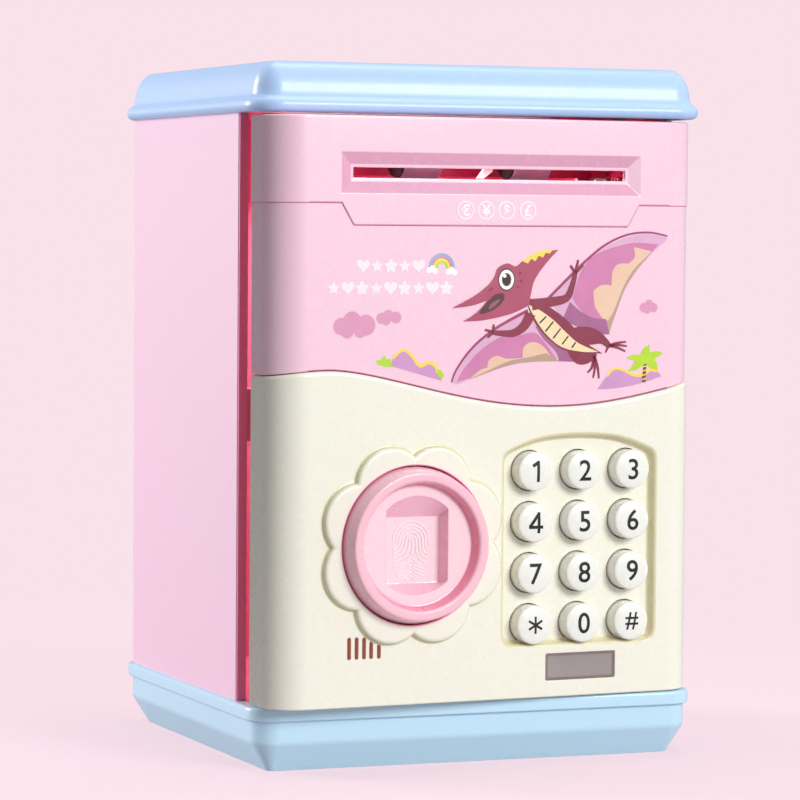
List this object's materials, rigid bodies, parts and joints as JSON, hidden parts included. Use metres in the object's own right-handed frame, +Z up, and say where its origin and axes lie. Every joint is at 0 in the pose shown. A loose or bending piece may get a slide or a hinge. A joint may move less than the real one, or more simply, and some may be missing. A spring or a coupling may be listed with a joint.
{
  "type": "toy safe coin bank",
  "caption": "Toy safe coin bank: square plastic safe, side-hinged front door with keypad, fingerprint button, banknote slot and inner money box.",
  "frame": {"origin": "centre of the base's underside, on the surface that the bank stands on", "axes": "+Z up, the door faces -Y, its hinge is on the +X side"},
  "size_m": [0.133, 0.1323, 0.19],
  "materials": {
    "pink_shell": "glossy moulded ABS",
    "cream_panel": "glossy moulded ABS",
    "blue_cap": "glossy moulded ABS",
    "crimson_inner": "satin moulded ABS",
    "white_plastic": "glossy moulded ABS",
    "gear_plastic": "satin acetal",
    "dark_plastic": "matte black plastic",
    "grey_rubber": "matte rubber",
    "silicone": "matte silicone",
    "smoky_lens": "smoky translucent acrylic",
    "led_epoxy": "clear tinted epoxy",
    "board_green": "solder mask",
    "speaker_paper": "paper",
    "steel": "bright zinc plated steel",
    "brass": "machined brass",
    "solenoid_frame": "wound copper coil in a steel frame",
    "cell_sleeve": "printed sleeve"
  },
  "bodies": {
    "safe_body": {"body_shell": "pink_shell", "wall_liner": "crimson_inner", "floor_plate": "crimson_inner", "ceiling_plate": "crimson_inner", "top_cap": "blue_cap", "base_tray": "blue_cap", "hinge_pins": "steel", "strike_plate": "crimson_inner", "base_screws": "steel", "cap_screws": "steel"},
    "door": {"door_upper_panel": "pink_shell", "door_lower_panel": "cream_panel", "door_back_cover": "crimson_inner", "door_screws": "steel", "battery_box": "dark_plastic", "battery_cover": "crimson_inner", "battery_cover_screw": "steel", "batteries": "cell_sleeve", "battery_contacts": "steel", "circuit_board": "board_green", "key_membrane": "silicone", "indicator_window": "smoky_lens", "indicator_leds": "led_epoxy", "speaker_frame": "dark_plastic", "speaker_cone": "speaker_paper", "tact_switch": "dark_plastic", "latch_solenoid": "solenoid_frame", "feed_motor": "steel", "roller_brackets": "crimson_inner", "bill_guide": "crimson_inner", "idler_axle": "steel", "sensor_pin": "steel", "button_spring": "steel"},
    "fingerprint_button": {"fingerprint_button": "pink_shell"},
    "latch_bolt": {"latch_bolt": "white_plastic"},
    "feed_roller": {"feed_shaft": "steel", "roller_hubs": "dark_plastic", "roller_tyres": "grey_rubber", "feed_gear": "gear_plastic"},
    "idler_gear": {"idler_gear": "gear_plastic"},
    "motor_pinion": {"motor_pinion": "brass"},
    "pinch_roller": {"pinch_rollers": "white_plastic"},
    "sensor_lever": {"sensor_lever": "white_plastic"},
    "key_1": {"key_1": "white_plastic"},
    "key_2": {"key_2": "white_plastic"},
    "key_3": {"key_3": "white_plastic"},
    "key_4": {"key_4": "white_plastic"},
    "key_5": {"key_5": "white_plastic"},
    "key_6": {"key_6": "white_plastic"},
    "key_7": {"key_7": "white_plastic"},
    "key_8": {"key_8": "white_plastic"},
    "key_9": {"key_9": "white_plastic"},
    "key_star": {"key_star": "white_plastic"},
    "key_0": {"key_0": "white_plastic"},
    "key_hash": {"key_hash": "white_plastic"}
  },
  "joints": [
    {"name": "door_hinge", "type": "hinge", "parent": "safe_body", "child": "door", "pos_m": [0.0606, -0.0451, 0.09665], "axis": [0, 0, 1], "range_deg": [-4.2, 90]},
    {"name": "key_1_press", "type": "slide", "parent": "door", "child": "key_1", "axis": [-0.0732, 0.9973, 0], "range_m": [0, 0.0013], "stiffness_N_per_m": 500, "springref_m": -0.0004},
    {"name": "key_2_press", "type": "slide", "parent": "door", "child": "key_2", "axis": [-0.0732, 0.9973, 0], "range_m": [0, 0.0013], "stiffness_N_per_m": 500, "springref_m": -0.0004},
    {"name": "key_3_press", "type": "slide", "parent": "door", "child": "key_3", "axis": [-0.0732, 0.9973, 0], "range_m": [0, 0.0013], "stiffness_N_per_m": 500, "springref_m": -0.0004},
    {"name": "key_4_press", "type": "slide", "parent": "door", "child": "key_4", "axis": [-0.0732, 0.9973, 0], "range_m": [0, 0.0013], "stiffness_N_per_m": 500, "springref_m": -0.0004},
    {"name": "key_5_press", "type": "slide", "parent": "door", "child": "key_5", "axis": [-0.0732, 0.9973, 0], "range_m": [0, 0.0013], "stiffness_N_per_m": 500, "springref_m": -0.0004},
    {"name": "key_6_press", "type": "slide", "parent": "door", "child": "key_6", "axis": [-0.0732, 0.9973, 0], "range_m": [0, 0.0013], "stiffness_N_per_m": 500, "springref_m": -0.0004},
    {"name": "key_7_press", "type": "slide", "parent": "door", "child": "key_7", "axis": [-0.0732, 0.9973, 0], "range_m": [0, 0.0013], "stiffness_N_per_m": 500, "springref_m": -0.0004},
    {"name": "key_8_press", "type": "slide", "parent": "door", "child": "key_8", "axis": [-0.0732, 0.9973, 0], "range_m": [0, 0.0013], "stiffness_N_per_m": 500, "springref_m": -0.0004},
    {"name": "key_9_press", "type": "slide", "parent": "door", "child": "key_9", "axis": [-0.0732, 0.9973, 0], "range_m": [0, 0.0013], "stiffness_N_per_m": 500, "springref_m": -0.0004},
    {"name": "key_star_press", "type": "slide", "parent": "door", "child": "key_star", "axis": [-0.0732, 0.9973, 0], "range_m": [0, 0.0013], "stiffness_N_per_m": 500, "springref_m": -0.0004},
    {"name": "key_0_press", "type": "slide", "parent": "door", "child": "key_0", "axis": [-0.0732, 0.9973, 0], "range_m": [0, 0.0013], "stiffness_N_per_m": 500, "springref_m": -0.0004},
    {"name": "key_hash_press", "type": "slide", "parent": "door", "child": "key_hash", "axis": [-0.0732, 0.9973, 0], "range_m": [0, 0.0013], "stiffness_N_per_m": 500, "springref_m": -0.0004},
    {"name": "fingerprint_press", "type": "slide", "parent": "door", "child": "fingerprint_button", "axis": [-0.0732, 0.9973, 0], "range_m": [0, 0.0015], "stiffness_N_per_m": 700, "springref_m": -0.0006, "deforming": ["button_spring"]},
    {"name": "latch_slide", "type": "slide", "parent": "door", "child": "latch_bolt", "axis": [-0.9973, -0.0732, 0], "range_m": [0, 0.0048]},
    {"name": "feed_roller_spin", "type": "hinge", "parent": "door", "child": "feed_roller", "pos_m": [0.00008, -0.04844, 0.1644], "axis": [0.9973, 0.0732, 0], "continuous": true},
    {"name": "idler_gear_spin", "type": "hinge", "parent": "door", "child": "idler_gear", "pos_m": [0.0456, -0.03605, 0.15848], "axis": [0.9973, 0.0732, 0], "continuous": true},
    {"name": "motor_pinion_spin", "type": "hinge", "parent": "door", "child": "motor_pinion", "pos_m": [0.04582, -0.03907, 0.15], "axis": [0.9973, 0.0732, 0], "continuous": true},
    {"name": "pinch_roller_spin", "type": "hinge", "parent": "door", "child": "pinch_roller", "pos_m": [0.00008, -0.04844, 0.1561], "axis": [0.9973, 0.0732, 0], "continuous": true},
    {"name": "sensor_lever_swing", "type": "hinge", "parent": "door", "child": "sensor_lever", "pos_m": [0.00067, -0.05642, 0.167], "axis": [0.9973, 0.0732, 0], "range_deg": [0, 35], "stiffness_Nm_per_rad": 0.0008, "springref_deg": -8.59}
  ],
  "couplings": [
    {"joint": "idler_gear_spin", "follows": "feed_roller_spin", "ratio": -1},
    {"joint": "motor_pinion_spin", "follows": "feed_roller_spin", "ratio": 1.5}
  ]
}
